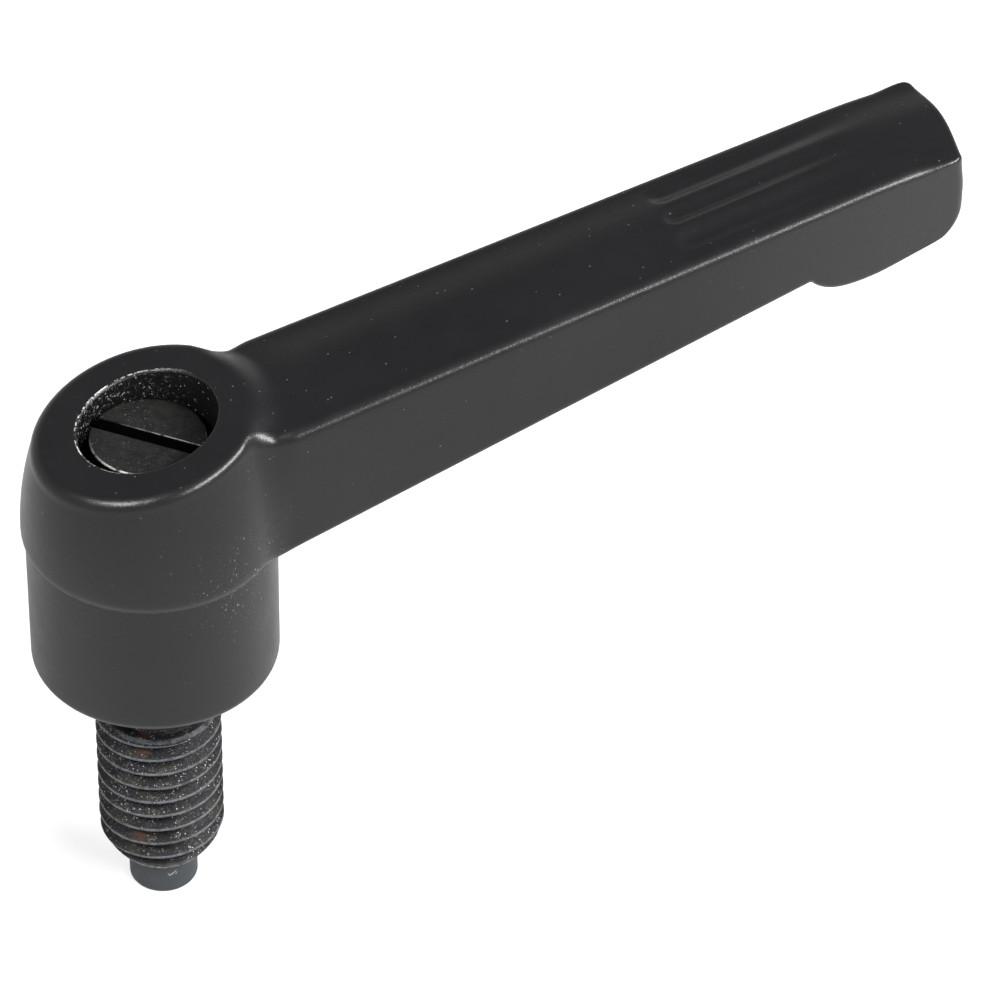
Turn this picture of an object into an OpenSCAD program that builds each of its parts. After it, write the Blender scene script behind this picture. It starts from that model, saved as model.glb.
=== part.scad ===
// Indexing clamping lever: a die-cast lever on a serrated steel stud, with a spring and a slotted retaining screw.
// Origin at the centre of the clamping shoulder, +Z up along the stud's axis, the arm along +X.

/* [Boss] */
// Radius of the boss below the crease
boss_r = 9.63; // [9:0.1:11]
// Height of the boss's plain cylinder, from its underside to the crease
boss_h = 12.35; // [11.5:0.1:13]
// Rounding of the boss's lower rim
rim_r = 1; // [0.4:0.1:1.6]
// Largest radius of the barrel above the crease
barrel_r = 9.94; // [9.8:0.02:11.2]
// Height above the crease where the barrel is widest
barrel_rise = 1; // [0.8:0.1:2.5]
// How fast the barrel draws in above its widest place
barrel_taper = 0.0155; // [0.005:0.0005:0.02]
// How far the boss's top leans towards the arm
barrel_lean = 0.4; // [0:0.05:0.5]
// Height of the slanted top face above the boss's underside, on the axis
top_h = 23.2; // [22:0.1:26]
// Slant of the top face in degrees
top_tilt = 12.1; // [4:0.1:14]
// Radius of the top face's edge where the arm's valley starts
top_edge_r = 7.2; // [6.6:0.1:8.5]
// Rounding of the boss's top edge
boss_edge_r = 1; // [0.5:0.05:1.4]

/* [Arm] */
// Distance from the stud's axis to the tip
arm_l = 64.05; // [60:0.05:75]
// Half width of the arm at the stud's axis
arm_half_w = 6.35; // [5.8:0.05:7]
// Half width of the arm at its tip
tip_half_w = 5.4; // [4.8:0.05:5.8]
// Height of the arm's top line above the boss's underside, at the axis
arm_top_h = 21.75; // [20.5:0.05:22.4]
// Slant of the arm's top in degrees
arm_top_tilt = 12.76; // [6:0.1:14]
// Slant of the arm's underside in degrees
arm_under_tilt = 18.6; // [14:0.1:19]
// Rounding of the arm's top edges
edge_r = 0.85; // [0.4:0.05:1.2]
// Crown of the arm's top across its width
crown = 0.5; // [0:0.05:0.8]
// Radius in plan where the arm leaves the boss
root_r = 5; // [1:0.1:6]
// Radius where the boss's top drops to the arm
valley_end_r = 10.2; // [9:0.1:11]
// Rounding of the arm's lower edges
under_r = 0.8; // [0.5:0.05:1.4]

/* [Grip] */
// Distance from the axis to the finger step under the arm
step_x = 51.5; // [46:0.5:54]
// Length over which the finger step falls to about a third
step_l = 1.8; // [1:0.1:3]
// Depth of the finger step
step_d = 2.6; // [0.5:0.1:3]
// Slant of the tip block's underside in degrees
tip_under_tilt = 17.3; // [8:0.1:20]
// Rounding of the tip's lower corner
tip_round = 3.1; // [2:0.1:4]
// Radius of the tip's corners in plan
tip_corner_r = 0.85; // [0.6:0.05:2]
// How far the tip's end face bulges
tip_bulge = 0.35; // [0.2:0.05:1.2]
// How far the tip's end face stands out below its top edge
tip_lean = 0.3; // [0:0.05:0.6]
// Rounding of the tip's top edge
tip_edge_r = 0.45; // [0.3:0.05:0.85]
// How far the top droops at the tip
droop = 0.7; // [0:0.1:1]
// Number of grooves along the grip
groove_count = 3; // [1:1:3]
// Spacing of the grooves
groove_pitch = 2.85; // [2.6:0.05:3]
// Radius of the grooves' round bottom
groove_r = 2.1; // [1.6:0.1:3]
// Depth of the grooves at the boss end
groove_d = 0.3; // [0.2:0.05:0.5]
// Distance from the axis to the start of the grooves
groove_x = 41.2; // [38:0.1:46]
// Length of the grooves
groove_l = 15; // [10:0.5:17]

/* [Bores] */
// Radius of the top bore round the screw's head
bore_r = 5.33; // [5.1:0.01:5.6]
// Thickness of the web that the spring stands on
web_t = 2; // [1.5:0.1:2.5]
// Radial gap between the screw's shank and the web's hole
web_gap = 0.3; // [0.2:0.05:0.5]

/* [Serration] */
// Number of teeth
tooth_count = 24; // [12:12:24]
// Height of the serrated zone
tooth_h = 4; // [3:0.1:4.1]
// Root radius of the hub's teeth
tooth_root_r = 5.55; // [5.3:0.05:5.8]
// Tip radius of the hub's teeth
tooth_tip_r = 6.25; // [6.1:0.05:6.3]
// Gap between the hub's teeth and the lever's
tooth_gap = 0.1; // [0.08:0.01:0.15]

/* [Stud] */
// Thickness of the collar under the boss
collar_t = 0.9; // [0.6:0.1:1.5]
// Radius of the collar
collar_r = 6.75; // [6.5:0.05:7.5]
// Gap between the collar and the boss's underside
collar_gap = 0.3; // [0.2:0.05:0.5]
// Radius of the hub's plain journal
journal_r = 6.35; // [6.32:0.01:6.4]
// Height of the hub above the boss's underside
hub_h = 7; // [6.8:0.1:7.4]
// Running gap round the journal
journal_gap = 0.05; // [0.03:0.01:0.08]
// Outside diameter of the thread
thread_d = 9.9; // [9.8:0.01:10]
// Pitch of the thread
thread_pitch = 1.5; // [1.25:0.25:1.5]
// Radius of the shank between collar and thread
shank_r = 4.1; // [3.9:0.05:4.4]
// Length from the clamping shoulder to the thread
shank_l = 4.45; // [3:0.05:6]
// Length of the narrow neck above the thread
neck_l = 0.6; // [0.4:0.05:1.5]
// Radius of the narrow neck
neck_r = 3.6; // [3.4:0.05:3.8]
// Length of the full thread
thread_l = 12.2; // [8:0.1:20]
// Length of the thread's end chamfer
end_chamfer_l = 2.4; // [1.5:0.1:3]
// Radius at the end of the chamfer
end_chamfer_r = 3.6; // [3:0.1:4.2]
// Radius of the dog point
pin_r = 2.72; // [2.2:0.01:2.9]
// Length of the dog point
pin_l = 3.65; // [2:0.05:5]
// Rounding of the dog point's end
pin_round = 0.4; // [0.2:0.05:0.6]

/* [Screw] */
// Radius of the screw's head
head_r = 4.48; // [4.3:0.01:4.7]
// Height of the screw's head
head_h = 3; // [2.6:0.1:3.2]
// Depth of the head's face below the top face, on the axis
head_sink = 1.56; // [1.2:0.02:1.8]
// Chamfer on the head's edge
head_chamfer = 0.25; // [0.1:0.05:0.4]
// Width of the screwdriver slot
slot_w = 1.25; // [1:0.05:1.6]
// Depth of the screwdriver slot
slot_d = 1.3; // [1:0.05:1.6]
// Direction of the slot in degrees
slot_turn = -42; // [-90:1:90]
// Radius of the screw's shank
screw_r = 2.95; // [2.45:0.05:2.95]
// How far the screw goes into the hub
screw_grip = 6; // [4:0.1:6]

/* [Spring] */
// Diameter of the spring's wire
wire_d = 0.8; // [0.6:0.05:0.9]
// Radius of the coil at the middle of the wire
coil_r = 4.1; // [4:0.05:4.3]
// Number of turns
coil_turns = 6; // [5:0.5:6]
// Gap left at each end of the spring
seat_gap = 0.05; // [0.02:0.01:0.1]

/* [Hidden] */
$fn = 96;

// Heights in the part's frame
boss_z = collar_t + collar_gap;
crease_z = boss_z + boss_h;
hub_z = boss_z + hub_h;
web_z = hub_z + web_t;
teeth_z = hub_z - tooth_h;
head_z = boss_z + top_h - head_sink;
head_under_z = head_z - head_h;
thread_z = -shank_l;
chamfer_z = thread_z - thread_l;
pin_z = chamfer_z - end_chamfer_l;
thread_r = thread_d / 2;
cut = 1;

// Points along one side of the outline: boss arc, root arc, arm, corner and half of the tip
boss_steps = 22;
root_steps = 6;
corner_steps = 4;
end_steps = 3;
under_steps = 3;
edge_steps = 3;
side_shares = [0, 0.1, 0.22, 0.38, 0.56, 0.78, 1];
rows_across = 10;
squeeze_l = 7;
lean_h = 3.3;

// How deep the skin's lowest level is sunk into the boss's cylinder
lap = 0.3;

function mix(a, b, t) = a + (b - a) * t;
function limit(t) = min(1, max(0, t));
function ease(t) = limit(t) * limit(t) * (3 - 2 * limit(t));

function half_w(x) = mix(arm_half_w, tip_half_w, x / arm_l);
function barrel(z) =
    let (h = z - crease_z)
    h <= 0 ? boss_r
    : h < barrel_rise ? barrel_r - (barrel_r - boss_r) * pow(1 - h / barrel_rise, 2)
    : barrel_r - barrel_taper * pow(h - barrel_rise, 2);

// Height of the top at a place in plan: the boss's slanted face, and the arm's top past the valley
droop_l = 8.5;
valley_start = 5.2;
valley_width = 1.8;
function arm_top(x) = boss_z + arm_top_h + x * tan(arm_top_tilt)
    - droop * pow(limit((x - arm_l + droop_l) / droop_l), 2);
function boss_top(x) = boss_z + top_h + x * tan(top_tilt);
function top_z(x, y) =
    let (r = sqrt(x * x + y * y), t = ease((r - top_edge_r) / (valley_end_r - top_edge_r)))
    mix(boss_top(x), arm_top(x), t * ease((x - valley_start) / valley_width));

// Height of the arm's underside, with the finger step and the tip block below it
under_line = crease_z - (boss_r - lap) * tan(arm_under_tilt);
under_dip = 0.75;
function under_z(x) =
    let (step_z = under_line + step_x * tan(arm_under_tilt), past = x - step_x)
    past < 0 ? max(crease_z - under_dip, under_line + x * tan(arm_under_tilt))
    : step_z - step_d * (1 - exp(-past / step_l)) + past * tan(tip_under_tilt);

// The outline, each point with its outward direction and its share of arm (0 on the boss, 1 on the arm)
root_y = half_w(boss_r) + root_r;
root_x = sqrt(pow(barrel_r + root_r, 2) - root_y * root_y);
root_angle = atan2(root_y, root_x);
corner_x = arm_l - tip_bulge - tip_corner_r;
corner_y = tip_half_w - tip_corner_r;
valley_x = valley_end_r + 0.6;
step_steps = 6;
arm_xs = concat(
    [for (i = [1:3]) mix(root_x, valley_x, i / 3)],
    [for (i = [1:10]) mix(valley_x, step_x - 0.6, i / 10)],
    [for (i = [0:step_steps]) step_x + 2 * step_l * pow(i / step_steps, 1.5)],
    [for (i = [1:6]) mix(step_x + 2 * step_l, corner_x, i / 7)]
);
boss_arc = [for (i = [0:boss_steps])
    let (a = 180 - (180 - root_angle) * i / boss_steps)
    [barrel_r * cos(a), i == 0 ? 0 : barrel_r * sin(a), cos(a), i == 0 ? 0 : sin(a), 0]];
root_arc = [for (i = [1:root_steps])
    let (a = mix(root_angle, 90, i / root_steps))
    [root_x - root_r * cos(a), root_y - root_r * sin(a), cos(a), sin(a), ease(i / root_steps)]];
arm_side = [for (x = arm_xs) [x, half_w(x), 0, 1, 1]];
corner_arc = [for (i = [0:corner_steps])
    let (a = 90 - 80 * i / corner_steps)
    [corner_x + tip_corner_r * cos(a), corner_y + tip_corner_r * sin(a), cos(a), sin(a), 1]];
tip_end = [for (i = [1:end_steps])
    let (t = 1 - i / end_steps, a = 8 * t)
    [arm_l - tip_bulge * t * t, corner_y * t, cos(a), i == end_steps ? 0 : sin(a), 1]];
outline = concat(boss_arc, root_arc, arm_side, corner_arc, tip_end);
last = len(outline) - 1;

// A ring is one level of the skin, from the lower edge up over the side to the top edge
ring_count = under_steps + len(side_shares) + edge_steps;
function level(p, k) =
    let (
        c = barrel_r - barrel(boss_top(p[0])),
        er = mix(mix(boss_edge_r, edge_r, p[4]), tip_edge_r, ease((p[0] - arm_l + 4) / 3)),
        top = top_z(p[0] - p[2] * c * (1 - p[4]), p[1] - p[3] * c * (1 - p[4])),
        sunk = k == 0 ? 1 - p[4] : 0,
        low = mix(crease_z, under_z(p[0]), p[4]) - sunk * lap,
        kb = min(k, under_steps),
        kt = max(0, k - under_steps - len(side_shares) + 1),
        share = side_shares[limit((k - under_steps) / (len(side_shares) - 1)) * (len(side_shares) - 1)],
        a = 90 * kb / under_steps,
        b = 90 * kt / edge_steps,
        foot = low + under_r * (1 - cos(a)),
        z = k < under_steps ? foot : mix(foot, top - er, share) + er * sin(b),
        in = p[4] * under_r * (1 - sin(a)) + (1 - p[4]) * (barrel_r - barrel(z)) + er * (1 - cos(b)) + sunk * lap,
        h = max(0, tip_round - (z - low)),
        back = tip_round - sqrt(max(0, tip_round * tip_round - h * h)),
        x = p[0] - p[2] * in + (1 - p[4]) * barrel_lean * pow(max(0, z - crease_z) / 10, 2),
        pull = limit((x - arm_l + squeeze_l) / squeeze_l)
    )
    [x + (tip_lean * ease((top - z) / lean_h) - back) * pull, p[1] - p[3] * in, z];

// The whole ring runs along one side and back along its mirror image
ring_len = 2 * last;
function mirrored(p) = [p[0], -p[1], p[2]];
function ring(k) =
    let (side = [for (p = outline) level(p, k)])
    concat(side, [for (i = [1:last - 1]) mirrored(side[last - i])]);

// Rows across the top between the two sides, with the arm's crown
function across(i) =
    let (p = level(outline[i], ring_count - 1), m = outline[i][4])
    [for (t = [1:rows_across - 1])
        let (s = 1 - 2 * t / rows_across, y = p[1] * s)
        [p[0], y, top_z(p[0], y) + m * crown * (1 - s * s)]];
function row(i) =
    let (top_ring = (ring_count - 1) * ring_len, inner = ring_count * ring_len + (i - 1) * (rows_across - 1))
    concat([top_ring + i], [for (t = [0:rows_across - 2]) inner + t], [top_ring + ring_len - i]);
function strip(a, b) = [for (t = [0:len(a) - 2]) each [[a[t], b[t], a[t + 1]], [b[t], b[t + 1], a[t + 1]]]];

module skin() {
    points = concat(
        [for (k = [0:ring_count - 1]) each ring(k)],
        [for (i = [1:last - 1]) each across(i)]
    );
    sides = [for (k = [0:ring_count - 2], j = [0:ring_len - 1])
        let (a = k * ring_len + j, b = k * ring_len + (j + 1) % ring_len)
        each [[a, b, a + ring_len], [b, b + ring_len, a + ring_len]]];
    under = [for (i = [0:last - 1])
        i == 0 ? [0, ring_len - 1, 1]
        : i == last - 1 ? [i, ring_len - i, last]
        : [i, ring_len - i, ring_len - i - 1, i + 1]];
    first_row = row(1);
    last_row = row(last - 1);
    top_ring = (ring_count - 1) * ring_len;
    top = concat(
        [for (t = [0:rows_across - 1]) [top_ring, first_row[t], first_row[t + 1]]],
        [for (i = [1:last - 2]) each strip(row(i), row(i + 1))],
        [for (t = [0:rows_across - 1]) [top_ring + last, last_row[t + 1], last_row[t]]]
    );
    polyhedron(points, concat(sides, under, top));
}

// Plain round part of the boss, with its rounded rim
module boss_cylinder() {
    translate([0, 0, boss_z])
        rotate_extrude()
            union() {
                square([boss_r - rim_r, boss_h]);
                translate([0, rim_r]) square([boss_r, boss_h - rim_r]);
                translate([boss_r - rim_r, rim_r]) circle(rim_r);
            }
}

// Teeth as a flat profile: grow widens every tooth and deepens every gap by the same amount
module serration(grow) {
    pitch_angle = 360 / tooth_count;
    grow_angle = atan(grow / tooth_tip_r);
    foot_angle = pitch_angle * 0.36 + grow_angle;
    tip_angle = pitch_angle * 0.14 + grow_angle;
    polygon([for (i = [0:tooth_count - 1])
        let (a = i * pitch_angle)
        each [
            (tooth_root_r + grow) * [cos(a - foot_angle), sin(a - foot_angle)],
            (tooth_tip_r + grow) * [cos(a - tip_angle), sin(a - tip_angle)],
            (tooth_tip_r + grow) * [cos(a + tip_angle), sin(a + tip_angle)],
            (tooth_root_r + grow) * [cos(a + foot_angle), sin(a + foot_angle)]
        ]]);
}

module bores() {
    guide_r = journal_r + journal_gap;
    mouth = 0.5;
    translate([0, 0, boss_z - cut]) cylinder(r = guide_r, h = teeth_z - boss_z + cut);
    translate([0, 0, boss_z - cut]) cylinder(r1 = guide_r + mouth + cut, r2 = guide_r, h = mouth + cut);
    translate([0, 0, teeth_z - cut]) linear_extrude(tooth_h + cut) serration(tooth_gap);
    translate([0, 0, hub_z - cut]) cylinder(r = screw_r + web_gap, h = web_t + 2 * cut);
    translate([0, 0, web_z]) cylinder(r = bore_r, h = top_h);
}

// Shallow flutes on the grip, deepest at the boss end and running out towards the tip
module grooves() {
    run_out = atan((groove_d + droop / 2) / groove_l);
    lift = groove_r - groove_d;
    for (i = [0:groove_count - 1]) {
        y = (i - (groove_count - 1) / 2) * groove_pitch;
        z = arm_top(groove_x) + crown * (1 - pow(y / half_w(groove_x), 2)) + lift;
        translate([groove_x + groove_r / 2, y, z])
            rotate([0, 90 - arm_top_tilt - run_out, 0]) {
                cylinder(r = groove_r, h = groove_l);
                sphere(groove_r);
            }
    }
}

module lever() {
    color([0.09, 0.09, 0.095])
        difference() {
            union() {
                boss_cylinder();
                skin();
            }
            bores();
            grooves();
        }
}

// Grooves of the thread, as rings one pitch apart: flanks of 60 degrees, an eighth of a pitch left on each crest
module thread_grooves(lead) {
    half_root = thread_pitch / 8;
    half_mouth = thread_pitch * 7 / 16;
    depth = (half_mouth - half_root) / tan(30);
    over = 0.2;
    for (i = [0:floor((thread_l + end_chamfer_l / 2) / thread_pitch)])
        translate([0, 0, thread_z - lead - (i + 0.5) * thread_pitch])
            rotate_extrude()
                polygon([
                    [thread_r - depth, -half_root],
                    [thread_r + over, -half_mouth - over * tan(30)],
                    [thread_r + over, half_mouth + over * tan(30)],
                    [thread_r - depth, half_root]
                ]);
}

module serrated_stud() {
    lead = 0.12;
    color([0.16, 0.16, 0.17])
        difference() {
            union() {
                cylinder(r = collar_r, h = collar_t);
                cylinder(r = journal_r, h = teeth_z);
                linear_extrude(hub_z) serration(0);
                translate([0, 0, -shank_l]) cylinder(r = neck_r, h = shank_l + cut);
                translate([0, 0, neck_l - shank_l]) cylinder(r = shank_r, h = shank_l - neck_l + cut);
                translate([0, 0, thread_z - lead]) cylinder(r1 = thread_r, r2 = thread_r - 2 * lead, h = lead);
                translate([0, 0, chamfer_z]) cylinder(r = thread_r, h = thread_l - lead);
                translate([0, 0, pin_z]) cylinder(r1 = end_chamfer_r, r2 = thread_r, h = end_chamfer_l);
                dog_point();
            }
            translate([0, 0, hub_z - screw_grip - cut]) cylinder(r = screw_r, h = screw_grip + 2 * cut);
            thread_grooves(lead);
        }
}

module dog_point() {
    translate([0, 0, pin_z - pin_l])
        rotate_extrude()
            union() {
                square([pin_r - pin_round, pin_l + cut]);
                translate([0, pin_round]) square([pin_r, pin_l + cut - pin_round]);
                translate([pin_r - pin_round, pin_round]) circle(pin_round);
            }
}

module retaining_screw() {
    color([0.12, 0.12, 0.12])
        difference() {
            union() {
                translate([0, 0, head_under_z]) cylinder(r = head_r, h = head_h - head_chamfer);
                translate([0, 0, head_z - head_chamfer])
                    cylinder(r1 = head_r, r2 = head_r - head_chamfer, h = head_chamfer);
                translate([0, 0, hub_z - screw_grip]) cylinder(r = screw_r, h = head_under_z - hub_z + screw_grip + cut);
            }
            translate([0, 0, head_z - slot_d])
                rotate([0, 0, slot_turn])
                    translate([-2 * head_r, -slot_w / 2, 0]) cube([4 * head_r, slot_w, slot_d + cut]);
        }
}

// Coil spring with closed ends, ground flat: the wire's centre line climbs slowly in the first and last turn
wire_sides = 8;
steps_per_turn = 24;
module return_spring() {
    low = web_z + seat_gap;
    high = head_under_z - seat_gap;
    wire_r = wire_d / 2;
    grind = wire_r * 0.5;
    from_z = low + wire_r - grind;
    to_z = high - wire_r + grind;
    steps = coil_turns * steps_per_turn;
    closed = wire_d * 0.9;
    open_rise = (to_z - from_z - 2 * closed) / (coil_turns - 2);
    function wire_z(turn) =
        turn < 1 ? from_z + closed * turn
        : turn > coil_turns - 1 ? to_z - closed * (coil_turns - turn)
        : from_z + closed + open_rise * (turn - 1);
    points = [for (i = [0:steps], s = [0:wire_sides - 1])
        let (turn = i / steps_per_turn, a = 360 * turn, b = 360 * s / wire_sides, r = coil_r + wire_r * cos(b))
        [r * cos(a), r * sin(a), wire_z(turn) + wire_r * sin(b)]];
    skin_faces = [for (i = [0:steps - 1], s = [0:wire_sides - 1])
        let (a = i * wire_sides + s, b = i * wire_sides + (s + 1) % wire_sides)
        each [[a, b, a + wire_sides], [b, b + wire_sides, a + wire_sides]]];
    start_face = [for (s = [0:wire_sides - 1]) wire_sides - 1 - s];
    end_face = [for (s = [0:wire_sides - 1]) steps * wire_sides + s];
    color([0.45, 0.45, 0.47])
        intersection() {
            polyhedron(points, concat([start_face], skin_faces, [end_face]));
            translate([0, 0, low]) cylinder(r = coil_r + wire_d, h = high - low);
        }
}

lever();
serrated_stud();
retaining_screw();
return_spring();
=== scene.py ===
"""Looks of the indexing clamping lever: a coated lever, a black steel stud, its screw and its spring.

Lengths are worked out in millimetres, and turned into metres when a mesh is made.
"""

import math

import bpy
import numpy as np
from mathutils import Matrix, Vector


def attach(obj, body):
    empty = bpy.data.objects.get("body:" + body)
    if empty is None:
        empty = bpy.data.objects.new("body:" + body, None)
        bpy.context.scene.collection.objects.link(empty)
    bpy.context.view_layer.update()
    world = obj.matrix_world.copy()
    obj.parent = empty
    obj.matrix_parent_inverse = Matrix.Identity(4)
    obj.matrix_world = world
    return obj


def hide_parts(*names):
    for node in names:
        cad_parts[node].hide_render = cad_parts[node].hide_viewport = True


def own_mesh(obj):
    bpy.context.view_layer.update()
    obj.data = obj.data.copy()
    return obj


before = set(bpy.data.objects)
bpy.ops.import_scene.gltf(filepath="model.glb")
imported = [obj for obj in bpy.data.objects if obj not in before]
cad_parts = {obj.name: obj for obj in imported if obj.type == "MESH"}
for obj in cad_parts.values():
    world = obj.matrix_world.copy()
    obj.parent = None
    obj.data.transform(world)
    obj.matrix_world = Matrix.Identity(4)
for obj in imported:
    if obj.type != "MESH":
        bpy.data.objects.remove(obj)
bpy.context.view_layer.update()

MM = 0.001

# Heights in the part's frame: the boss's underside, its crease, the web over the hub
BOSS_Z = 1.2
CREASE_Z = BOSS_Z + 12.35
HUB_Z = BOSS_Z + 7.0
WEB_Z = HUB_Z + 2.0
TEETH_Z = HUB_Z - 4.0

# Teeth of the stud's hub, and the gap to the lever's; the lever's guide bore below them and hole above
TOOTH_COUNT = 24
TOOTH_ROOT_R = 5.55
TOOTH_TIP_R = 6.25
TOOTH_GAP = 0.1
GUIDE_R = 6.4
HOLE_R = 3.25

# Boss
BOSS_R = 9.63
RIM_R = 1.0
BARREL_R = 9.94
BARREL_RISE = 1.0
BARREL_TAPER = 0.0155
BARREL_LEAN = 0.4
TOP_H = 23.2
TOP_SLOPE = math.tan(math.radians(12.1))
VALLEY_R = (7.2, 10.2)
VALLEY_X = (5.2, 7.0)
BOSS_EDGE_R = 1.0
BORE_R = 5.33
BORE_EDGE = 0.22
# Height in the bore below which its wall is straight, and the edge round its floor
BORE_MID_Z = 17
BORE_FLOOR_EDGE = 0.3

# Arm
ARM_L = 64.05
ROOT_HALF_W = 6.35
TIP_HALF_W = 5.4
ARM_TOP_H = 21.75
ARM_SLOPE = math.tan(math.radians(12.76))
UNDER_SLOPE = math.tan(math.radians(18.6))
CROWN = 0.5
# Distance from the valley's start over which the crown grows to its full height
CROWN_GROWTH = 5.5
# More than the solids' 0.85, for the photo's wide line of light along the edge
EDGE_R = 1.05
ROOT_R = 5.0
UNDER_R = 0.8
UNDER_DIP = 0.75
DROOP = 0.7
DROOP_L = 8.5

# Grip
STEP_X = 51.5
STEP_L = 1.8
STEP_D = 2.6
TIP_UNDER_SLOPE = math.tan(math.radians(17.3))
TIP_ROUND = 3.1
TIP_CORNER_R = 0.85
TIP_BULGE = 0.35
TIP_LEAN = 0.3
LEAN_H = 3.3
TIP_EDGE_R = 0.45
# The edge's radius changes to the tip's between these distances from the tip
TIP_EDGE_SPAN = (4, 1)
SQUEEZE_L = 7.0
GROOVE_PITCH = 2.85
GROOVE_HALF_W = 1.35
# Depth of the front, middle and rear flute, chosen by the look of their streaks of light
GROOVE_D = (0.24, 0.42, 0.30)
# The flutes' round ends start at GROOVE_X, and their straight parts GROOVE_START further on
GROOVE_X = 41.2
GROOVE_START = 1.15
GROOVE_L = 17.5

# Stud
THREAD_R = 4.95
THREAD_PITCH = 1.5
THREAD_Z = -4.45
# Height of the thread's upper chamfer
LEAD = 0.12
THREAD_DEPTH = 0.58 * THREAD_PITCH
HALF_CREST = 0.0625
FLANK = 0.3325
SHANK_R = 4.1
NECK_R = 3.6
NECK_L = 0.6
CHAMFER_Z = THREAD_Z - 12.2
PIN_Z = CHAMFER_Z - 2.4
# Angle round the stud at which a crest starts just below the thread's upper chamfer
CREST_TURN = math.radians(-110.9)
COLLAR_R = 6.75
COLLAR_T = 0.9
COLLAR_EDGE = 0.1
JOURNAL_R = 6.35
SCREW_R = 2.95
PIN_R = 2.72
PIN_L = 3.65

# Screw
HEAD_R = 4.48
HEAD_Z = BOSS_Z + TOP_H - 1.56
HEAD_H = 3.0
SLOT_W = 1.25
SLOT_D = 1.3
SLOT_TURN = -42.0

# Spring: wire, coil, and the rise of a closed end turn
WIRE_R = 0.4
COIL_R = 4.1
COILS = 6
CLOSED_RISE = 0.72
SEAT_GAP = 0.05


# --- small helpers


def mix(a, b, t):
    return a + (b - a) * t


def ease(t):
    t = np.clip(t, 0, 1)
    return t * t * (3 - 2 * t)


def grid_faces(rows, cols, start, wrap):
    """Quads of a grid of points whose first is number start; wrap joins the last column to the first."""
    r, c = np.meshgrid(np.arange(rows - 1), np.arange(cols if wrap else cols - 1), indexing="ij")
    c2 = (c + 1) % cols
    quads = np.stack([r * cols + c, r * cols + c2, (r + 1) * cols + c2, (r + 1) * cols + c], -1)
    return quads.reshape(-1, 4) + start


class Shell:
    """Grids of points gathered into one mesh, whose coincident points are then joined."""

    def __init__(self):
        self.points, self.quads, self.count = [], [], 0

    def grid(self, pts, wrap=False, flip=False):
        rows, cols = pts.shape[:2]
        quads = grid_faces(rows, cols, self.count, wrap)
        self.quads.append(quads[:, ::-1] if flip else quads)
        self.points.append(pts.reshape(-1, 3))
        self.count += rows * cols

    def make(self, name, sharp_degrees):
        pts = np.concatenate(self.points)
        _, first, back = np.unique(np.round(pts, 4), axis=0, return_index=True, return_inverse=True)
        quads = back.reshape(-1)[np.concatenate(self.quads)]
        faces = []
        for q in quads.tolist():
            f = [v for i, v in enumerate(q) if v != q[i - 1]]
            if len(set(f)) == len(f) > 2:
                faces.append(f)
        return make_mesh(name, pts[first], faces, sharp_degrees)


def make_mesh(name, pts_mm, faces, sharp_degrees):
    mesh = bpy.data.meshes.new(name)
    mesh.from_pydata((np.asarray(pts_mm) * MM).tolist(), [], faces)
    mesh.validate()
    mesh.shade_smooth()
    mesh.set_sharp_from_angle(angle=math.radians(sharp_degrees))
    mesh.update()
    obj = bpy.data.objects.new(name, mesh)
    bpy.context.scene.collection.objects.link(obj)
    return obj


def lathe(profile, turns=192):
    """Points of a turned surface; profile lists (radius, height), and a radius may vary round the turn."""
    a = np.arange(turns) * 2 * math.pi / turns
    rows = []
    for r, z in profile:
        rows.append(np.stack([r * np.cos(a), r * np.sin(a), z + 0 * a], -1))
    return np.array(rows)


def fillet(cr, cz, r, a0, a1, steps=8):
    """Points (radius, height) of a round edge with its centre at (cr, cz), from angle a0 to a1 in degrees."""
    return [
        (cr + r * math.cos(math.radians(a)), cz + r * math.sin(math.radians(a)))
        for a in np.linspace(a0, a1, steps)
    ]


# --- the lever's surface


def half_w(x):
    return mix(ROOT_HALF_W, TIP_HALF_W, x / ARM_L)


def barrel(z):
    h = np.asarray(z, float) - CREASE_Z
    low = BARREL_R - (BARREL_R - BOSS_R) * (1 - np.clip(h, 0, BARREL_RISE) / BARREL_RISE) ** 2
    return low - BARREL_TAPER * np.maximum(h - BARREL_RISE, 0) ** 2


def boss_top(x):
    return BOSS_Z + TOP_H + x * TOP_SLOPE


def arm_top(x):
    return BOSS_Z + ARM_TOP_H + x * ARM_SLOPE - DROOP * np.clip((x - ARM_L + DROOP_L) / DROOP_L, 0, 1) ** 2


def top_z(x, y):
    """Height of the top face: the boss's slanted face, the valley round it, and the arm's top."""
    t = ease((np.hypot(x, y) - VALLEY_R[0]) / (VALLEY_R[1] - VALLEY_R[0]))
    return mix(boss_top(x), arm_top(x), t * ease((x - VALLEY_X[0]) / (VALLEY_X[1] - VALLEY_X[0])))


UNDER_LINE = CREASE_Z - (BOSS_R - 0.3) * UNDER_SLOPE


def under_z(x):
    """Height of the arm's underside: level near the boss, then rising, then the step down to the grip."""
    past = x - STEP_X
    before = np.maximum(CREASE_Z - UNDER_DIP, UNDER_LINE + x * UNDER_SLOPE)
    step = STEP_D * (1 - np.exp(-np.maximum(past, 0) / STEP_L))
    after = UNDER_LINE + STEP_X * UNDER_SLOPE - step + past * TIP_UNDER_SLOPE
    return np.where(past < 0, before, after)


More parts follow.
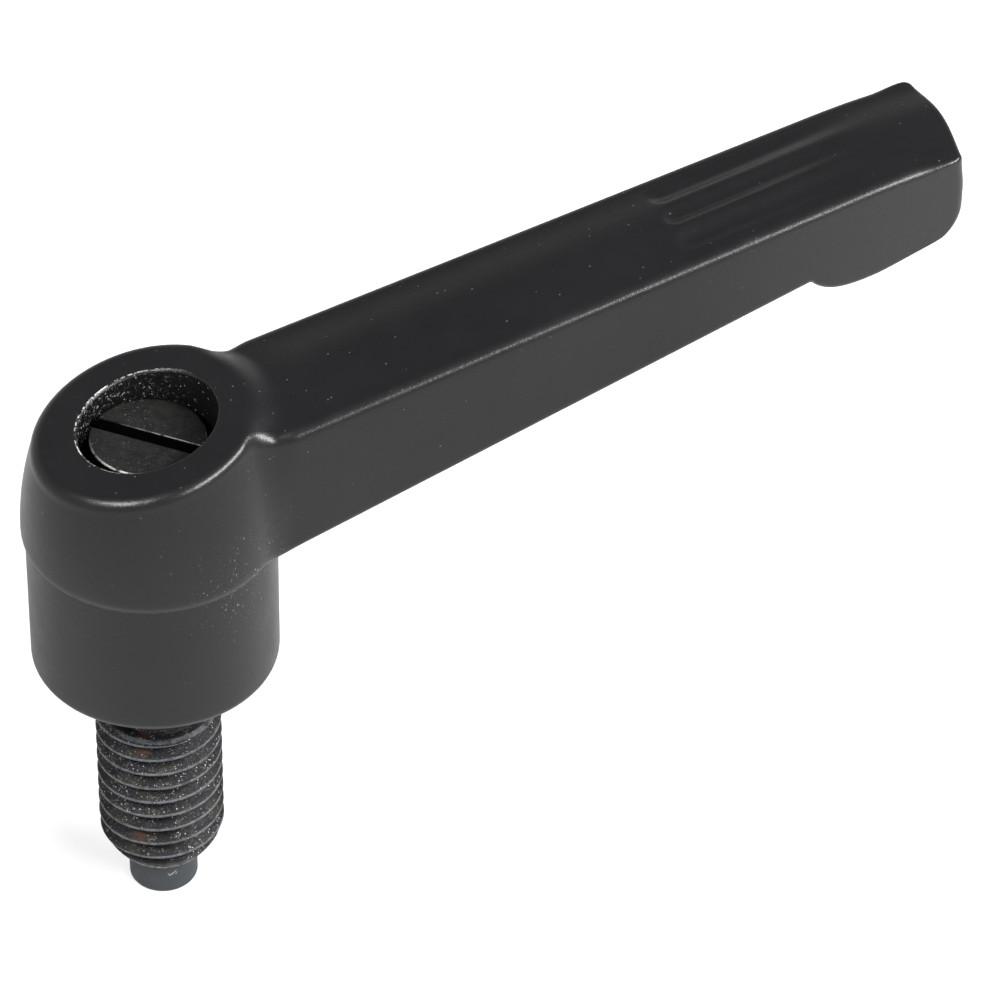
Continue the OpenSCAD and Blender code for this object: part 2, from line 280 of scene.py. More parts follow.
def groove_depth(x, y):
    """Depth of the three flutes at a place on the arm's top: a round start, and a run-out towards the tip."""
    depth = 0 * x
    start = GROOVE_X + GROOVE_START
    for i in (-1, 0, 1):
        d = GROOVE_D[i + 1] * (1 - np.clip((x - start) / GROOVE_L, 0, 1) ** 3) ** 2
        dx = np.minimum(x - start, 0)
        dy = y - i * GROOVE_PITCH
        depth = depth + d * np.clip(1 - (dx**2 + dy**2) / GROOVE_HALF_W**2, 0, 1) ** 2
    return depth


def arm_relief(x, y):
    """Crown of the arm's top less its flutes."""
    w = np.maximum(half_w(x) - EDGE_R, 1)
    grown = ease((np.hypot(x, y) - VALLEY_R[0]) / CROWN_GROWTH) * (x > 0)
    return CROWN * grown * np.clip(1 - (y / w) ** 2, 0, 1) ** 2 - groove_depth(x, y)


def outline():
    """Stations along one side of the lever in plan: x, y, the outward direction, and the share of arm."""
    root_y = float(half_w(BOSS_R)) + ROOT_R
    root_x = math.sqrt((BARREL_R + ROOT_R) ** 2 - root_y**2)
    root_a = math.atan2(root_y, root_x)
    a = np.linspace(math.pi, root_a, 100)
    boss = np.stack([BARREL_R * np.cos(a), BARREL_R * np.sin(a), np.cos(a), np.sin(a), 0 * a], -1)
    t = np.linspace(0, 1, 19)[1:]
    b = mix(root_a, math.pi / 2, t)
    root_xy = [root_x - ROOT_R * np.cos(b), root_y - ROOT_R * np.sin(b)]
    root = np.stack([*root_xy, np.cos(b), np.sin(b), ease(t)], -1)
    corner_x = ARM_L - TIP_BULGE - TIP_CORNER_R
    corner_y = TIP_HALF_W - TIP_CORNER_R
    x = np.linspace(root_x, corner_x, 232)[1:-1]
    arm = np.stack([x, half_w(x), 0 * x, 0 * x + 1, 0 * x + 1], -1)
    c = np.radians(np.linspace(90, 10, 15))
    corner_xy = [corner_x + TIP_CORNER_R * np.cos(c), corner_y + TIP_CORNER_R * np.sin(c)]
    corner = np.stack([*corner_xy, np.cos(c), np.sin(c), 0 * c + 1], -1)
    e = np.linspace(1, 0, 21)[1:]
    n = np.radians(8 * e)
    end = np.stack([ARM_L - TIP_BULGE * e * e, corner_y * e, np.cos(n), np.sin(n), 0 * e + 1], -1)
    return np.concatenate([boss, root, arm, corner, end]), len(boss), len(boss) + len(root)


def place(p, low, top, under, side, edge):
    """One level of the skin.

    under and edge are how far round the lower and upper edges it is, side how far up between them.
    """
    x, y, nx, ny, m = p.T
    a, b = under * math.pi / 2, edge * math.pi / 2
    foot = low + UNDER_R * (1 - math.cos(a))
    far, close = TIP_EDGE_SPAN
    er = mix(mix(BOSS_EDGE_R, EDGE_R, m), TIP_EDGE_R, ease((x - ARM_L + far) / (far - close)))
    z = foot if under < 1 else mix(foot, top - er, side)
    inset = m * UNDER_R * (1 - math.sin(a)) + (1 - m) * (BARREL_R - barrel(z)) + er * (1 - math.cos(b))
    h = np.maximum(0, TIP_ROUND - (z - low))
    back = TIP_ROUND - np.sqrt(np.maximum(0, TIP_ROUND**2 - h * h))
    px = x - nx * inset
    py = y - ny * inset
    pull = np.clip((px - ARM_L + SQUEEZE_L) / SQUEEZE_L, 0, 1)
    px = px + (1 - m) * BARREL_LEAN * (np.maximum(z - CREASE_Z, 0) / 10) ** 2
    px = px + (TIP_LEAN * ease((top - z) / LEAN_H) - back) * pull
    if edge > 0:
        z = top_z(px, py) + arm_relief(px, py) * m - er * (1 - math.sin(b))
    return np.stack([px, py, z], -1)


def lever_skin(shell):
    """The skin from the crease and the arm's underside up over the sides and across the top to the bore."""
    p, n_boss, n_root = outline()
    x, y, nx, ny, m = p.T
    c = BARREL_R - barrel(boss_top(x))
    top = top_z(x - nx * c * (1 - m), y - ny * c * (1 - m))
    low = mix(CREASE_Z, under_z(x), m)
    for _ in range(4):
        q = place(p, low, top, 1, 1, 0)
        top = top_z(q[:, 0], q[:, 1]) + arm_relief(q[:, 0], q[:, 1]) * m
    levels = [place(p, low, top, t, 0, 0) for t in np.linspace(0, 1, 8)[:-1]]
    levels += [place(p, low, top, 1, t, 0) for t in np.linspace(0, 1, 26)]
    levels += [place(p, low, top, 1, 1, t) for t in np.linspace(0, 1, 12)[1:]]
    side = np.array(levels)
    mirror = np.array([1, -1, 1])
    shell.grid(side, flip=True)
    shell.grid(side * mirror)
    lower, upper = side[0], side[-1]

    # Under the arm: the first row is an arc of the boss, and the rows straighten towards the arm
    s = np.linspace(1, -1, 29)
    rows = []
    theta = math.atan2(lower[n_boss - 1][1], lower[n_boss - 1][0])
    for j in range(n_boss - 1, len(p)):
        q = lower[j]
        t = min(1, (j - n_boss + 1) / (n_root - n_boss))
        bulge = BOSS_R * (np.cos(theta * s) - math.cos(theta)) * (1 - t)
        wide = mix(np.sin(theta * s) / math.sin(theta), s, t)
        rows.append(np.stack([q[0] + bulge, q[1] * wide, q[2] + 0 * s], -1))
    shell.grid(np.array(rows), flip=True)

    # Across the arm's top, from the first straight row to the tip
    s = np.linspace(1, -1, 111)
    rows = []
    for q in upper[n_root - 1 :]:
        px, py = q[0] + 0 * s, q[1] * s
        pz = top_z(px, py) + arm_relief(px, py)
        pz[0] = pz[-1] = q[2]
        rows.append(np.stack([px, py, pz], -1))
    rows = np.array(rows)
    shell.grid(rows)

    # Round the bore: straight lines from the bore's edge out to the rim of the top
    rim = np.concatenate([upper[:n_root], rows[0][1:-1], (upper[:n_root] * mirror)[::-1]])[:-1]
    angle = np.arctan2(rim[:, 1], rim[:, 0])
    rim_x, rim_y, rim_z = rim.T
    off = rim_z - top_z(rim_x, rim_y) - arm_relief(rim_x, rim_y) * (rim_x > 0)
    inner = BORE_R + BORE_EDGE
    fan = []
    for t in np.linspace(0, 1, 44):
        px = mix(inner * np.cos(angle), rim[:, 0], t)
        py = mix(inner * np.sin(angle), rim[:, 1], t)
        pz = top_z(px, py) + arm_relief(px, py) * (px > 0)
        fan.append(np.stack([px, py, pz + off * ease((t - 0.5) / 0.5)], -1))
    shell.grid(np.array(fan), wrap=True, flip=True)

    # Down the bore to the web, whose hole clears the screw's shank
    down = [fan[0]]
    for t in np.linspace(0, 90, 6)[1:]:
        r = BORE_R + BORE_EDGE * (1 - math.sin(math.radians(t)))
        edge = fan[0] * 1.0
        edge[:, 0], edge[:, 1] = r * np.cos(angle), r * np.sin(angle)
        edge[:, 2] -= BORE_EDGE * (1 - math.cos(math.radians(t)))
        down.append(edge)
    floor = [(BORE_R - BORE_FLOOR_EDGE, WEB_Z), (HOLE_R, WEB_Z), (HOLE_R, HUB_Z)]
    for r, z in [(BORE_R, BORE_MID_Z), (BORE_R, WEB_Z + BORE_FLOOR_EDGE), *floor]:
        down.append(np.stack([r * np.cos(angle), r * np.sin(angle), z + 0 * angle], -1))
    shell.grid(np.array(down), wrap=True)


def tooth_radius(turns, gap):
    """Radius round the flat-flanked teeth, gap outside the stud's; crest and flank are in degrees."""
    pitch, half_crest, flank = 360 / TOOTH_COUNT, 2.1, 3.3
    a = (np.arange(turns) * 360 / turns + pitch / 2) % pitch - pitch / 2
    t = np.clip((np.abs(a) - half_crest) / flank, 0, 1)
    return mix(TOOTH_TIP_R + gap, TOOTH_ROOT_R + gap, t)


def lever_boss(shell):
    """The plain part of the boss, the guide bore and the teeth inside it."""
    turns = 288
    teeth = tooth_radius(turns, TOOTH_GAP)
    profile = [(BOSS_R - 0.3, CREASE_Z + 0.2), (BOSS_R, CREASE_Z)]
    profile += [(BOSS_R, z) for z in np.linspace(CREASE_Z, BOSS_Z + RIM_R, 12)[1:]]
    profile += fillet(BOSS_R - RIM_R, BOSS_Z + RIM_R, RIM_R, 0, -90, 10)[1:]
    profile += [(GUIDE_R + 0.5, BOSS_Z), (GUIDE_R, BOSS_Z + 0.5), (GUIDE_R, TEETH_Z)]
    profile += [(teeth, TEETH_Z), (teeth, HUB_Z), (HOLE_R, HUB_Z)]
    shell.grid(lathe(profile, turns), wrap=True, flip=True)


def make_lever():
    """The casting: its skin and the boss's plain part, which meet at the crease and in the web's hole."""
    shell = Shell()
    lever_skin(shell)
    lever_boss(shell)
    return shell.make("lever_casting", 32)


# --- the stud


def thread_radius(a, z):
    """Radius of the thread at angle a and height z: a right-hand helix between its end chamfers.

    Crests and flanks are shares of the pitch.
    """
    phase = ((z - THREAD_Z + LEAD + 0.02) / THREAD_PITCH - (a - CREST_TURN) / (2 * math.pi)) % 1
    from_crest = np.minimum(phase, 1 - phase)
    helix = THREAD_R - THREAD_DEPTH * np.clip((from_crest - HALF_CREST) / FLANK, 0, 1)
    above = np.clip(z - (THREAD_Z - LEAD), 0, 1)
    below = np.maximum(CHAMFER_Z - z, 0)
    return np.minimum(helix, THREAD_R - 2 * above - 0.36 * below - 0.085 * below**2)


def make_stud():
    """The turned stud from the hub's teeth down to the dog point."""
    turns = 288
    a = np.arange(turns) * 2 * math.pi / turns
    teeth = tooth_radius(turns, 0)
    shell = Shell()
    shank_end = THREAD_Z + NECK_L
    edge_r, edge_z = COLLAR_R - COLLAR_EDGE, COLLAR_T - COLLAR_EDGE
    profile = [(SCREW_R, BOSS_Z), (SCREW_R, HUB_Z), (teeth, HUB_Z), (teeth, TEETH_Z)]
    profile += [(JOURNAL_R, TEETH_Z), (JOURNAL_R, COLLAR_T), (edge_r, COLLAR_T), (COLLAR_R, edge_z)]
    profile += [(COLLAR_R, COLLAR_EDGE), (edge_r, 0), (SHANK_R, 0), (SHANK_R, shank_end + 0.06)]
    profile += [(SHANK_R - 0.06, shank_end), (NECK_R, shank_end - 0.1)]
    profile += [(NECK_R, THREAD_Z + 0.1), (NECK_R + 0.1, THREAD_Z)]
    rows = list(lathe(profile, turns))
    heights = [np.linspace(THREAD_Z, THREAD_Z - LEAD, 4), np.linspace(THREAD_Z - LEAD, PIN_Z, 300)[1:]]
    for z in np.concatenate(heights):
        r = thread_radius(a, z)
        rows.append(np.stack([r * np.cos(a), r * np.sin(a), z + 0 * a], -1))
    end = [(PIN_R + 0.25, PIN_Z), (PIN_R, PIN_Z - 0.2)]
    end += [(PIN_R, z) for z in np.linspace(PIN_Z - 0.6, PIN_Z - PIN_L + 0.4, 5)]
    end += fillet(PIN_R - 0.4, PIN_Z - PIN_L + 0.4, 0.4, 0, -90, 8)[1:]
    end += [(1.4, PIN_Z - PIN_L), (0.0, PIN_Z - PIN_L)]
    rows += list(lathe(end, turns))
    shell.grid(np.array(rows), wrap=True, flip=True)
    return shell.make("stud_turned", 30)


# --- the screw and the spring


def make_screw():
    """The retaining screw: a turned head with its slot cut, and a plain shank."""
    shell = Shell()
    ch = 0.22
    profile = [(0.0, HEAD_Z)] + [(r, HEAD_Z) for r in np.linspace(0.5, HEAD_R - ch, 10)]
    profile += fillet(HEAD_R - ch, HEAD_Z - ch, ch, 90, 0, 6)[1:]
    end = HEAD_Z - HEAD_H
    profile += [(HEAD_R, end), (SCREW_R, end), (SCREW_R, 2.3), (SCREW_R - 0.2, 2.2), (0.0, 2.2)]
    shell.grid(lathe(profile), wrap=True)
    screw = shell.make("screw_slotted", 30)
    slot = box_cutter("slot_cutter", (4 * HEAD_R, SLOT_W, 2 * SLOT_D), (0, 0, HEAD_Z), SLOT_TURN)
    cut = screw.modifiers.new("slot", "BOOLEAN")
    cut.operation = "DIFFERENCE"
    cut.solver = "EXACT"
    cut.object = slot
    worn = screw.modifiers.new("worn_edges", "BEVEL")
    worn.width = 0.07 * MM
    worn.segments = 2
    worn.limit_method = "ANGLE"
    worn.angle_limit = math.radians(50)
    apply_modifiers(screw, 35)
    bpy.data.objects.remove(slot)
    return screw


def box_cutter(name, size, centre, degrees):
    sx, sy, sz = (v / 2 for v in size)
    pts = np.array([(x, y, z) for x in (-sx, sx) for y in (-sy, sy) for z in (-sz, sz)])
    a = math.radians(degrees)
    turn = np.array([[math.cos(a), math.sin(a), 0], [-math.sin(a), math.cos(a), 0], [0, 0, 1]])
    faces = [(0, 1, 3, 2), (4, 6, 7, 5), (0, 4, 5, 1), (2, 3, 7, 6), (0, 2, 6, 4), (1, 5, 7, 3)]
    return make_mesh(name, pts @ turn + centre, faces, 30)


def apply_modifiers(obj, sharp_degrees):
    graph = bpy.context.evaluated_depsgraph_get()
    mesh = bpy.data.meshes.new_from_object(obj.evaluated_get(graph))
    obj.modifiers.clear()
    obj.data = mesh
    mesh.shade_smooth()
    mesh.set_sharp_from_angle(angle=math.radians(sharp_degrees))


def make_spring():
    """Compression spring with closed, ground ends, between the web and the screw's head."""
    sides, per_turn = 16, 48
    low, high = WEB_Z + SEAT_GAP, HEAD_Z - HEAD_H - SEAT_GAP
    grind = WIRE_R * 0.5
    z0, z1 = low + WIRE_R - grind, high - WIRE_R + grind
    rise = (z1 - z0 - 2 * CLOSED_RISE) / (COILS - 2)
    t = np.linspace(0, COILS, COILS * per_turn + 1)
    z = z0 + CLOSED_RISE + rise * (t - 1)
    z = np.where(t > COILS - 1, z1 - CLOSED_RISE * (COILS - t), z)
    z = np.where(t < 1, z0 + CLOSED_RISE * t, z)
    a = 2 * math.pi * t
    rows = []
    for b in np.linspace(0, 2 * math.pi, sides, endpoint=False):
        r = COIL_R + WIRE_R * math.cos(b)
        h = np.clip(z + WIRE_R * math.sin(b), low, high)
        rows.append(np.stack([r * np.cos(a), r * np.sin(a), h], -1))
    pts = np.array(rows).transpose(1, 0, 2)
    ends = [np.repeat(pts[i].mean(0)[None], sides, 0) for i in (0, -1)]
    shell = Shell()
    shell.grid(np.concatenate([ends[0][None], pts, ends[1][None]]), wrap=True, flip=True)
    return shell.make("spring_coil", 40)


# --- materials


class Shader:
    """A material's node tree with short calls for the nodes that the finishes share."""

    def __init__(self, name):
        self.mat = bpy.data.materials.new(name)
        self.mat.use_nodes = True
        self.nodes = self.mat.node_tree.nodes
        self.links = self.mat.node_tree.links
        self.bsdf = self.nodes["Principled BSDF"]
        self.where = self.nodes.new("ShaderNodeTexCoord").outputs["Object"]

    def set(self, **values):
        for key, value in values.items():
            self.bsdf.inputs[key.replace("_", " ")].default_value = value

    def noise(self, scale, detail=2.0, rough=0.5):
        n = self.nodes.new("ShaderNodeTexNoise")
        n.inputs["Scale"].default_value = scale
        n.inputs["Detail"].default_value = detail
        n.inputs["Roughness"].default_value = rough
        self.links.new(self.where, n.inputs["Vector"])
        return n.outputs["Fac"]

    def ramp(self, value, stops):
        n = self.nodes.new("ShaderNodeValToRGB")
        els = n.color_ramp.elements
        while len(els) < len(stops):
            els.new(0.5)
        for el, (pos, colour) in zip(els, stops):
            el.position = pos
            el.color = (*colour, 1)
        self.links.new(value, n.inputs["Fac"])
        return n.outputs["Color"]

    def scale(self, value, low, high, to_low, to_high):
        n = self.nodes.new("ShaderNodeMapRange")
        for key, v in (("From Min", low), ("From Max", high), ("To Min", to_low), ("To Max", to_high)):
            n.inputs[key].default_value = v
        self.links.new(value, n.inputs["Value"])
        return n.outputs["Result"]

    def math(self, operation, a, b=None):
        n = self.nodes.new("ShaderNodeMath")
        n.operation = operation
        for i, v in enumerate((a, b)):
            if isinstance(v, (int, float)):
                n.inputs[i].default_value = v
            elif v is not None:
                self.links.new(v, n.inputs[i])
        return n.outputs[0]

    def blend(self, factor, a, b):
        n = self.nodes.new("ShaderNodeMix")
        n.data_type = "RGBA"
        self.links.new(factor, n.inputs["Factor"])
        for socket, v in ((n.inputs[6], a), (n.inputs[7], b)):
            if isinstance(v, tuple):
                socket.default_value = (*v, 1)
            else:
                self.links.new(v, socket)
        return n.outputs[2]

    def bump(self, height, strength, distance, normal=None):
        n = self.nodes.new("ShaderNodeBump")
        n.inputs["Strength"].default_value = strength
        n.inputs["Distance"].default_value = distance
        self.links.new(height, n.inputs["Height"])
        if normal is not None:
            self.links.new(normal, n.inputs["Normal"])
        return n.outputs["Normal"]

    def specks(self, scale, size, share):
        """Mask of round specks: a share of the pattern's cells holds one, whose radius is size of a cell."""
        n = self.nodes.new("ShaderNodeTexVoronoi")
        n.inputs["Scale"].default_value = scale
        self.links.new(self.where, n.inputs["Vector"])
        part = self.nodes.new("ShaderNodeSeparateColor")
        self.links.new(n.outputs["Color"], part.inputs[0])
        chosen = self.math("GREATER_THAN", part.outputs[0], 1 - share)
        return self.math("MULTIPLY", self.scale(n.outputs["Distance"], size, size * 0.6, 0, 1), chosen)

    def near(self, place_mm, reach_mm):
        """Mask that is 1 at a place and falls to 0 at its reach."""
        n = self.nodes.new("ShaderNodeVectorMath")
        n.operation = "DISTANCE"
        self.links.new(self.where, n.inputs[0])
        n.inputs[1].default_value = [v * MM for v in place_mm]
        return self.scale(n.outputs["Value"], 0, reach_mm * MM, 1, 0)

    def product(self, *values):
        total = values[0]
        for v in values[1:]:
            total = self.math("MULTIPLY", total, v)
        return total

    def split(self, vector):
        n = self.nodes.new("ShaderNodeSeparateXYZ")
        self.links.new(vector, n.inputs[0])
        return n.outputs

    def along(self, axis):
        return self.split(self.where)[axis]

    def side_facing(self):
        """Mask of the faces that look sideways."""
        up = self.split(self.nodes.new("ShaderNodeNewGeometry").outputs["Normal"])[2]
        return self.scale(self.math("ABSOLUTE", up), 0.6, 0.3, 0, 1)

    def radius(self):
        """Distance from the stud's axis, in metres, and height."""
        x, y, z = self.split(self.where)
        square = self.math("ADD", self.math("MULTIPLY", x, x), self.math("MULTIPLY", y, y))
        return self.math("SQRT", square), z

    def to(self, socket, value):
        self.links.new(value, self.bsdf.inputs[socket])


def black_coating():
    """Satin black powder coat: orange peel, dust, and a bore that is chipped, rough and speckled; with a
    painted sheen on the arm's sides towards the tip and painted shade on the bore's wall.
    """
    s = Shader("black_coating")
    s.set(Metallic=0.0, IOR=1.43)
    r, z = s.radius()
    colour = s.ramp(s.noise(60, 3, 0.55), [(0.3, (0.0060, 0.0054, 0.0062)), (0.7, (0.0085, 0.0078, 0.0088))])
    # Painted sheen: faces that look sideways are painted lighter from 40 to 62 mm along the arm, towards the
    # tip.
    grey = s.product(s.side_facing(), s.scale(s.along(0), 40 * MM, 62 * MM, 0, 0.015))
    colour = s.blend(grey, colour, (0.9, 0.9, 0.92))
    high = s.scale(z, (CREASE_Z + 4) * MM, (CREASE_Z + 5) * MM, 0, 1)
    # Mask of the bore's wall above the crease, used for its painted shade, its weaker reflection, roughness
    # and bump.
    wall = s.product(s.scale(r, (BORE_R + 0.02) * MM, (BORE_R - 0.01) * MM, 0, 1), high)
    wall_end = s.scale(r, (BORE_R + 0.16) * MM, (BORE_R + 0.05) * MM, 0, 1)
    upper_left = s.near((-4.6, 3.6, 23.0), 9.5)
    crease_dust = s.product(s.scale(s.noise(5200, 2, 0.6), 0.67, 0.73, 0, 1), s.near((4.8, -8.3, 14.0), 6.5))
    dust = s.product(s.specks(3400, 0.30, 0.02), s.scale(s.noise(90, 2), 0.40, 0.60, 0.2, 1))
    crumbs = s.product(s.scale(s.noise(3300, 5, 0.85), 0.58, 0.66, 0, 1), wall_end, high, upper_left)
    flecks = s.product(s.specks(5200, 0.42, 0.05), wall_end, high)
    chips = s.product(
        s.scale(r, (BORE_R + 0.24) * MM, (BORE_R + 0.19) * MM, 0, 1),
        s.scale(r, (BORE_R + 0.10) * MM, (BORE_R + 0.14) * MM, 0, 1),
        s.scale(s.noise(1300, 4, 0.75), 0.46, 0.54, 0, 1),
        s.math("MINIMUM", s.product(upper_left, 1.6), 1.0),
        high,
    )
    # Painted shade: the bore's wall, a recess, is painted near black.
    colour = s.blend(wall, colour, (0.002, 0.002, 0.002))
    colour = s.blend(s.product(dust, 0.25), colour, (0.25, 0.25, 0.26))
    colour = s.blend(crease_dust, colour, (0.35, 0.35, 0.36))
    colour = s.blend(s.math("MINIMUM", s.product(crumbs, 1.5), 0.9), colour, (0.40, 0.40, 0.41))
    colour = s.blend(s.product(flecks, 0.5), colour, (0.40, 0.39, 0.38))
    colour = s.blend(chips, colour, (0.50, 0.50, 0.51))
    s.to("Base Color", colour)
    s.to("Specular IOR Level", s.scale(wall, 0, 1, 0.5, 0.12))
    rough = s.scale(s.noise(420, 3, 0.6), 0.3, 0.7, 0.27, 0.34)
    s.to("Roughness", s.math("ADD", rough, s.product(wall, 0.25)))
    peel = s.bump(s.noise(1900, 2, 0.5), 0.12, 0.00008)
    grain = s.bump(s.noise(4600, 2, 0.6), 0.22, 0.00005, peel)
    s.to("Normal", s.bump(s.product(s.noise(2600, 4, 0.7), wall), 0.7, 0.0003, grain))
    return s.mat


# Place and reach of the rust spots on the thread, in mm
RUST_SPOTS = (((-2.5, -3.6, -5.5), 0.75), ((-2.1, -3.1, -4.45), 0.55), ((-2.9, -3.3, -14.9), 0.8))


def black_oxide():
    """Black-oxide steel: dust and grit in the thread, worn crests, rust spots and a grey dog point."""
    s = Shader("black_oxide_steel")
    r, z = s.radius()
    colour = s.ramp(s.noise(260, 4, 0.6), [(0.3, (0.004, 0.004, 0.005)), (0.7, (0.009, 0.009, 0.011))])
    thread = s.scale(z, (PIN_Z - 0.05) * MM, PIN_Z * MM, 0, 1)
    thread = s.product(thread, s.scale(z, (THREAD_Z + 0.9) * MM, (THREAD_Z + 0.8) * MM, 0, 1))
    patches = s.scale(s.noise(420, 2, 0.5), 0.40, 0.58, 0.25, 1)
    fine = s.product(s.scale(s.noise(4600, 5, 0.9), 0.535, 0.63, 0, 1), patches, thread)
    brown = s.product(s.scale(s.noise(700, 3, 0.6), 0.50, 0.64, 0, 0.8), thread)
    grit = s.product(s.specks(7800, 0.44, 0.09), patches, thread)
    colour = s.blend(brown, colour, (0.020, 0.018, 0.012))
    colour = s.blend(s.product(fine, 0.8), colour, (0.17, 0.17, 0.175))
    colour = s.blend(grit, colour, (0.50, 0.50, 0.47))
    # Painted highlight: the thread's upward-facing shoulder is painted light grey, broken by noise.
    painted_shoulder_highlight = s.product(
        s.scale(z, (THREAD_Z - 0.05) * MM, (THREAD_Z - 0.02) * MM, 0, 1),
        s.scale(z, (THREAD_Z + 0.05) * MM, (THREAD_Z + 0.02) * MM, 0, 1),
        s.scale(r, 4.25 * MM, 4.40 * MM, 0, 1),
        s.scale(s.noise(1500, 3, 0.7), 0.40, 0.58, 0.25, 1),
    )
    colour = s.blend(s.product(painted_shoulder_highlight, 0.8), colour, (0.11, 0.117, 0.13))
    foot = s.product(s.scale(z, (PIN_Z + 0.9) * MM, (PIN_Z + 0.1) * MM, 0, 1), thread)
    foot = s.product(foot, s.scale(s.noise(1900, 4, 0.75), 0.44, 0.58, 0, 1))
    colour = s.blend(foot, colour, (0.42, 0.42, 0.42))
    for place, reach in RUST_SPOTS:
        spot = s.product(s.near(place, reach), s.scale(s.noise(2600, 4, 0.7), 0.40, 0.56, 0, 2.2))
        colour = s.blend(s.math("MINIMUM", spot, 0.85), colour, (0.050, 0.023, 0.015))
    scrape = s.product(s.near((-0.1, -2.7, -20.5), 0.45), s.scale(s.noise(2400, 3, 0.7), 0.50, 0.56, 0, 3))
    worn = s.scale(s.noise(1300, 4, 0.7), 0.36, 0.58, 0.25, 1)
    crest = s.product(s.scale(r, (THREAD_R - 0.07) * MM, (THREAD_R - 0.01) * MM, 0, 1), worn, thread)
    colour = s.blend(crest, colour, (0.13, 0.133, 0.143))
    point = s.scale(z, (PIN_Z - 0.02) * MM, (PIN_Z - 0.2) * MM, 0, 1)
    colour = s.blend(point, colour, (0.028, 0.032, 0.036))
    colour = s.blend(s.math("MINIMUM", scrape, 0.8), colour, (0.25, 0.27, 0.29))
    s.to("Base Color", colour)
    s.to("Metallic", s.product(crest, 0.5))
    s.to("Roughness", s.scale(s.noise(900, 3, 0.6), 0.3, 0.7, 0.42, 0.62))
    s.set(IOR=1.45)
    s.to("Specular IOR Level", s.scale(thread, 0, 1, 0.5, 0.2))
    grain = s.bump(s.noise(3200, 3, 0.6), 0.2, 0.00006)
    s.to("Normal", s.bump(s.product(s.noise(3600, 4, 0.75), thread), 0.5, 0.00012, grain))
    return s.mat


def dark_screw():
    """Blackened screw: flat dark face with fine dust, a painted highlight along the front of its edges, and
    painted shade in the slot and down the head's sides.
    """
    s = Shader("dark_screw_steel")
    s.set(Metallic=0.0, IOR=1.42)
    z = s.along(2)
    colour = s.ramp(s.noise(500, 4, 0.6), [(0.3, (0.002, 0.002, 0.002)), (0.75, (0.008, 0.0075, 0.007))])
    dust = s.scale(s.noise(4200, 4, 0.8), 0.60, 0.68, 0, 1)
    dust = s.product(dust, s.scale(s.noise(420, 2), 0.40, 0.62, 0, 1))
    face = s.scale(z, (HEAD_Z - 0.16) * MM, (HEAD_Z - 0.08) * MM, 0, 1)
    # Painted highlight: a light, broken line along the head's top edge and the slot's edges, mostly at the
    # front.
    edge = s.scale(z, (HEAD_Z - 0.01) * MM, (HEAD_Z - 0.03) * MM, 0, 1)
    edge = s.product(edge, s.scale(s.noise(1100, 3), 0.36, 0.54, 0, 1))
    edge = s.product(edge, s.math("MINIMUM", s.product(s.near((-0.5, -3.4, HEAD_Z), 6.0), 2), 1.0))
    colour = s.blend(s.product(dust, 0.6), colour, (0.20, 0.20, 0.20))
    colour = s.blend(s.product(edge, 0.9), colour, (0.40, 0.39, 0.38))
    # Painted shade: below the face, in the slot and down the head's sides, the colour is near black and the
    # reflection nearly off.
    colour = s.blend(face, (0.001, 0.001, 0.001), colour)
    s.to("Base Color", colour)
    s.to("Specular IOR Level", s.scale(face, 0, 1, 0.03, 0.5))
    s.to("Roughness", s.scale(s.noise(1500, 3, 0.6), 0.3, 0.7, 0.42, 0.62))
    s.to("Normal", s.bump(s.noise(5200, 3, 0.6), 0.3, 0.00006))
    return s.mat


def spring_steel():
    """Drawn spring wire: grey metal with a fine grain of bumps."""
    s = Shader("spring_steel")
    s.set(Metallic=1.0)
    s.to("Base Color", s.ramp(s.noise(700, 3, 0.6), [(0.3, (0.30, 0.30, 0.31)), (0.7, (0.46, 0.46, 0.47))]))
    s.to("Roughness", s.scale(s.noise(2400, 3, 0.6), 0.3, 0.7, 0.25, 0.45))
    s.to("Normal", s.bump(s.noise(5200, 3, 0.6), 0.2, 0.00003))
    return s.mat


def put_on(obj, mat):
    obj.data.materials.clear()
    obj.data.materials.append(mat)


# --- stage, lights and camera

FLOOR_GREY = 0.45
CAMERA_WHITE = 0.5
# The sky's strength at the horizon, and from this height (share of straight up) on
HORIZON, ZENITH, FALL_END = 0.7, 0.18, 0.62
AIM = (0.02, 0, 0.02)


def make_floor():
    """Pale floor under the dog point; white is added for the camera alone, so that it shows white."""
    z = PIN_Z - PIN_L
    side = 4000
    corners = [(-side, -side, z), (side, -side, z), (side, side, z), (-side, side, z)]
    floor = make_mesh("floor", corners, [(0, 1, 2, 3)], 30)
    s = Shader("floor_white")
    s.set(Roughness=0.9)
    s.bsdf.inputs["Base Color"].default_value = (FLOOR_GREY, FLOOR_GREY, FLOOR_GREY, 1)
    path = s.nodes.new("ShaderNodeLightPath").outputs["Is Camera Ray"]
    s.bsdf.inputs["Emission Color"].default_value = (1, 1, 1, 1)
    s.to("Emission Strength", s.math("MULTIPLY", path, CAMERA_WHITE))
    put_on(floor, s.mat)


def area_light(name, place_m, target_m, size_m, watts):
    data = bpy.data.lights.new(name, "AREA")
    data.shape = "RECTANGLE"
    data.size, data.size_y = size_m
    data.energy = watts
    lamp = bpy.data.objects.new(name, data)
    bpy.context.scene.collection.objects.link(lamp)
    lamp.location = place_m
    aim = Vector(target_m) - Vector(place_m)
    lamp.rotation_euler = aim.to_track_quat("-Z", "Y").to_euler()


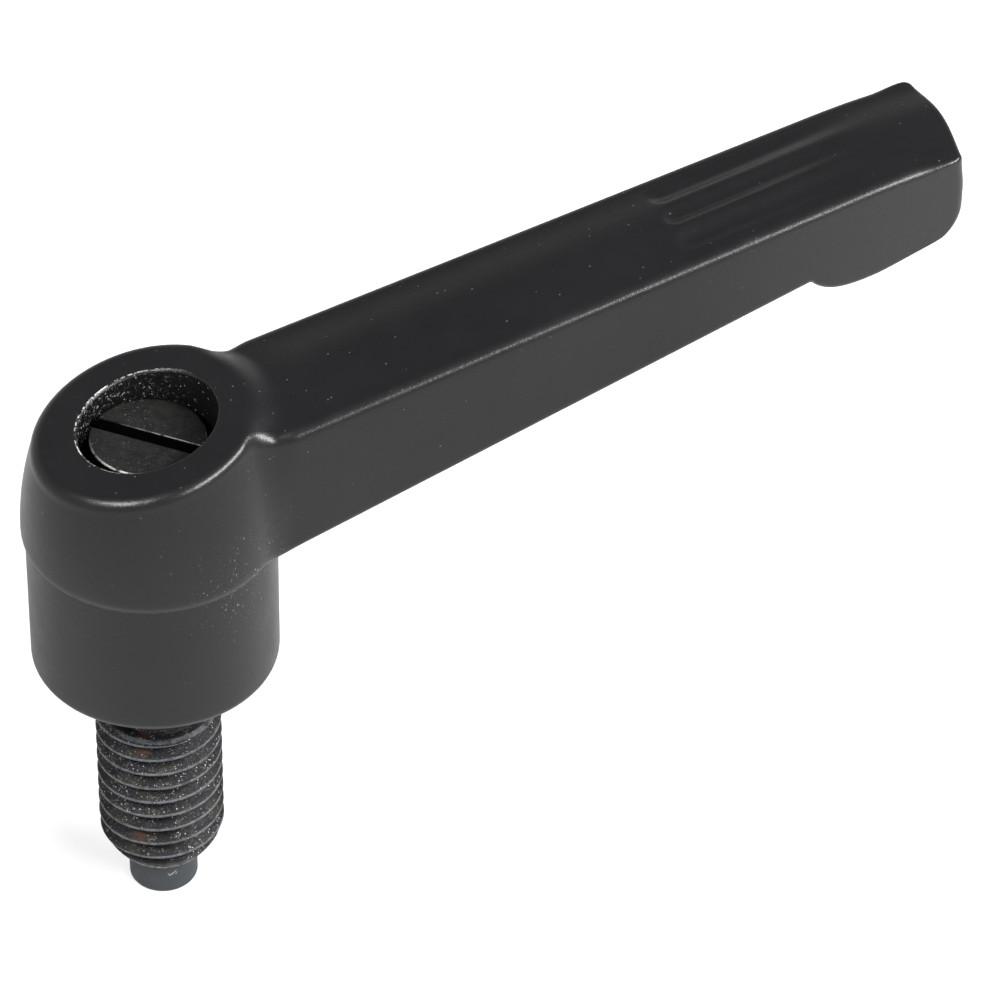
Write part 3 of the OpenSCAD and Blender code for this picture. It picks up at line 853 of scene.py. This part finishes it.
def make_lights():
    """White sky that is brighter towards the horizon, and two soft boxes that the edges mirror."""
    world = bpy.data.worlds.new("studio")
    bpy.context.scene.world = world
    world.use_nodes = True
    nodes, links = world.node_tree.nodes, world.node_tree.links
    sky = nodes["Background"]
    sky.inputs["Color"].default_value = (1, 1, 1, 1)
    split = nodes.new("ShaderNodeSeparateXYZ")
    links.new(nodes.new("ShaderNodeTexCoord").outputs["Generated"], split.inputs[0])
    fall = nodes.new("ShaderNodeMapRange")
    fall.interpolation_type = "SMOOTHSTEP"
    for key, v in (("From Min", 0.0), ("From Max", FALL_END), ("To Min", HORIZON), ("To Max", ZENITH)):
        fall.inputs[key].default_value = v
    links.new(split.outputs[2], fall.inputs["Value"])
    links.new(fall.outputs["Result"], sky.inputs["Strength"])
    area_light("softbox_left", (-0.577, -0.199, 0.728), AIM, (0.42, 0.19), 8.0)
    area_light("softbox_right", (0.526, -0.473, 0.672), AIM, (1.15, 0.17), 24.0)


def make_camera():
    """The photograph's view, fitted to points measured in it."""
    right = Vector((0.93744, -0.34795, 0.01155))
    up = Vector((0.21992, 0.61757, 0.75514))
    data = bpy.data.cameras.new("photo_view")
    data.sensor_fit = "HORIZONTAL"
    data.sensor_width = 36
    data.lens = 208.93
    data.clip_start, data.clip_end = 0.01, 20
    camera = bpy.data.objects.new("photo_view", data)
    bpy.context.scene.collection.objects.link(camera)
    turn = Matrix((right, up, right.cross(up))).transposed().to_4x4()
    camera.matrix_world = Matrix.Translation((-0.09389, -0.31955, 0.30520)) @ turn
    bpy.context.scene.camera = camera


def main():
    lever, stud, screw, spring = make_lever(), make_stud(), make_screw(), make_spring()
    put_on(lever, black_coating())
    put_on(stud, black_oxide())
    put_on(screw, dark_screw())
    put_on(spring, spring_steel())
    for obj, node, body, slot in (
        (lever, "lever", "lever", "black_coating"),
        (stud, "serrated_stud", "stud", "black_oxide_steel"),
        (screw, "retaining_screw", "stud", "dark_screw_steel"),
        (spring, "return_spring", "spring", "spring_steel"),
    ):
        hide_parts(node)
        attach(obj, body)
    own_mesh(spring)
    make_floor()
    make_lights()
    make_camera()
    bpy.context.scene.view_settings.view_transform = "Standard"


main()
